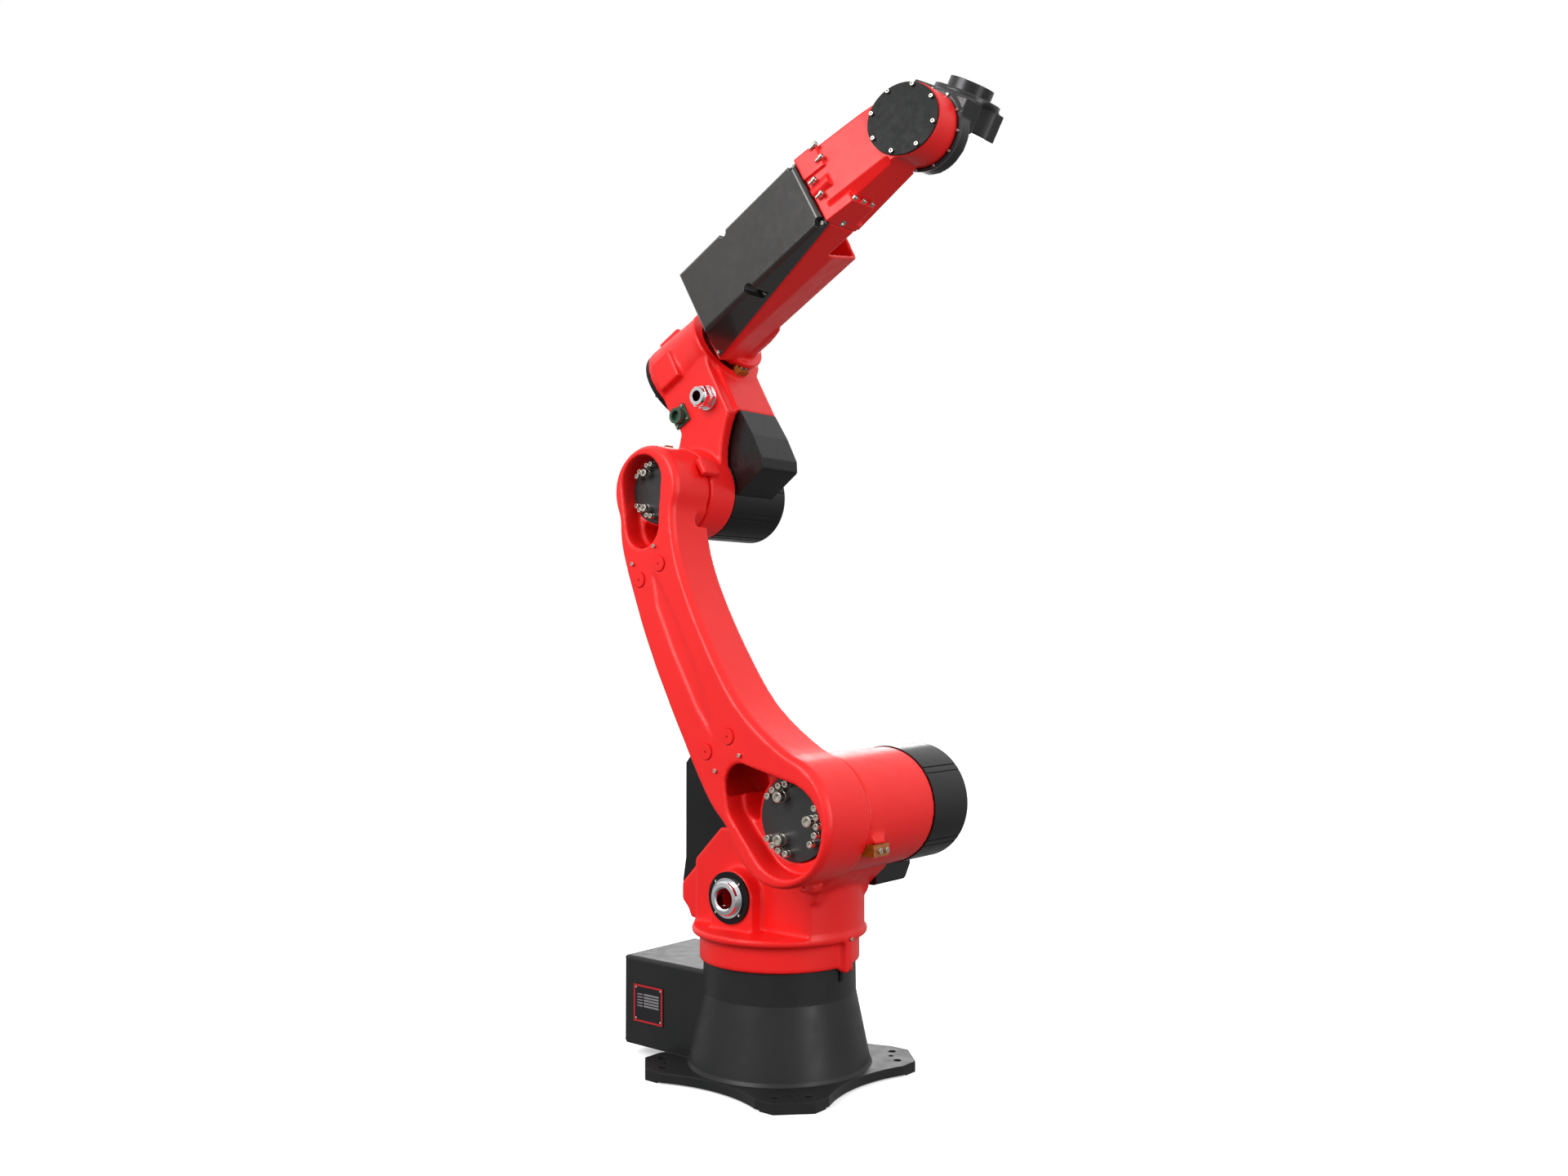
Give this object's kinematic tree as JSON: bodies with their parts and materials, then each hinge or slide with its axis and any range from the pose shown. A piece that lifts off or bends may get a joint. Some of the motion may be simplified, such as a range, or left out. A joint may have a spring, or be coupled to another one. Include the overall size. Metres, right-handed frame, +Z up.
{
  "type": "robot arm",
  "caption": "Floor-standing six-axis industrial robot arm with a curved lower arm, offset elbow, covered forearm, bending wrist and bolted tool flange.",
  "frame": {"origin": "centre of the base on the floor plane, on the vertical axis of joint 1", "axes": "+X to the robot's front, +Y to its left, +Z up; the lower arm is on the -Y side of the column"},
  "size_m": [1.0067, 0.5449, 2.1975],
  "materials": {
    "red_iron_casting": "satin",
    "red_aluminium_casting": "satin",
    "dark_iron_casting": "satin",
    "dark_wrist_metal": "satin",
    "black_cover": "satin",
    "black_gloss_cover": "satin",
    "black_sheet": "satin",
    "black_steel": "satin",
    "nickel_fastener": "satin",
    "chrome_gland": "polished",
    "gear_steel": "satin",
    "motor_black": "matte",
    "amber_bumper": "satin",
    "green_connector": "satin",
    "label_plate": "satin"
  },
  "bodies": {
    "base": {"base_casting": "dark_iron_casting", "rear_panel": "black_sheet", "rear_panel_screws": "nickel_fastener", "power_socket": "black_cover", "signal_socket": "black_cover", "air_fittings": "nickel_fastener", "nameplate": "label_plate", "j1_reducer": "gear_steel", "j1_zero_key": "black_sheet"},
    "column": {"column_casting": "red_iron_casting", "j1_motor": "motor_black", "j1_motor_cover": "black_cover", "gland_plate": "black_sheet", "gland_plate_screws": "nickel_fastener", "column_cable_gland": "chrome_gland", "j2_reducer": "gear_steel", "j2_motor": "motor_black", "j2_motor_cover": "black_cover", "j2_connector_cover": "black_cover", "j2_bumper": "amber_bumper", "j2_bumper_screws": "nickel_fastener", "j1_zero_screw": "nickel_fastener"},
    "lower_arm": {"lower_arm_casting": "red_aluminium_casting", "arm_plugs": "red_aluminium_casting", "arm_screws": "nickel_fastener", "j2_output_plate": "black_steel", "j2_plate_screws": "nickel_fastener", "j3_output_plate": "black_steel", "j3_plate_screws": "nickel_fastener", "j3_bumper": "amber_bumper", "j3_bumper_screw": "nickel_fastener"},
    "elbow": {"elbow_casting": "red_aluminium_casting", "j3_reducer": "gear_steel", "j3_motor": "motor_black", "j3_motor_cover": "black_cover", "j4_motor": "motor_black", "j4_motor_cover": "black_cover", "j4_reducer": "gear_steel", "elbow_cable_gland": "chrome_gland", "elbow_connector": "green_connector", "elbow_connector_screws": "nickel_fastener", "j4_rear_cover": "black_sheet", "j4_rear_cover_screws": "nickel_fastener", "j4_bumper": "amber_bumper", "j4_bumper_screws": "nickel_fastener"},
    "forearm": {"forearm_casting": "red_aluminium_casting", "forearm_cover": "black_gloss_cover", "forearm_cover_screws": "nickel_fastener", "j4_hollow_shaft": "gear_steel", "j5_motor": "motor_black", "j6_motor": "motor_black", "wrist_casting": "red_aluminium_casting", "wrist_side_cover": "black_sheet", "wrist_side_cover_screws": "nickel_fastener", "wrist_flange_screws": "nickel_fastener"},
    "wrist": {"wrist_housing": "dark_wrist_metal", "j6_reducer": "gear_steel", "wrist_ring_screws": "nickel_fastener"},
    "tool": {"tool_flange": "dark_wrist_metal"}
  },
  "joints": [
    {"name": "j1_turn", "type": "hinge", "parent": "base", "child": "column", "pos_m": [0, 0, 0], "axis": [0, 0, 1], "range_deg": [-155, 155]},
    {"name": "j2_lean", "type": "hinge", "parent": "column", "child": "lower_arm", "pos_m": [0.236, 0, 0.62], "axis": [0, 1, 0], "range_deg": [-49, 95]},
    {"name": "j3_lift", "type": "hinge", "parent": "lower_arm", "child": "elbow", "pos_m": [-0.18451, 0, 1.33675], "axis": [0, 1, 0], "range_deg": [-53, 70]},
    {"name": "j4_roll", "type": "hinge", "parent": "elbow", "child": "forearm", "pos_m": [-0.16484, 0, 1.70406], "axis": [0.8704, 0, 0.4924], "range_deg": [-180, 180]},
    {"name": "j5_bend", "type": "hinge", "parent": "forearm", "child": "wrist", "pos_m": [0.47053, 0, 2.06353], "axis": [0, 1, 0], "range_deg": [-83, 146]},
    {"name": "j6_spin", "type": "hinge", "parent": "wrist", "child": "tool", "pos_m": [0.52046, 0, 2.15361], "axis": [0.4848, 0, 0.8746], "range_deg": [-360, 360]}
  ]
}
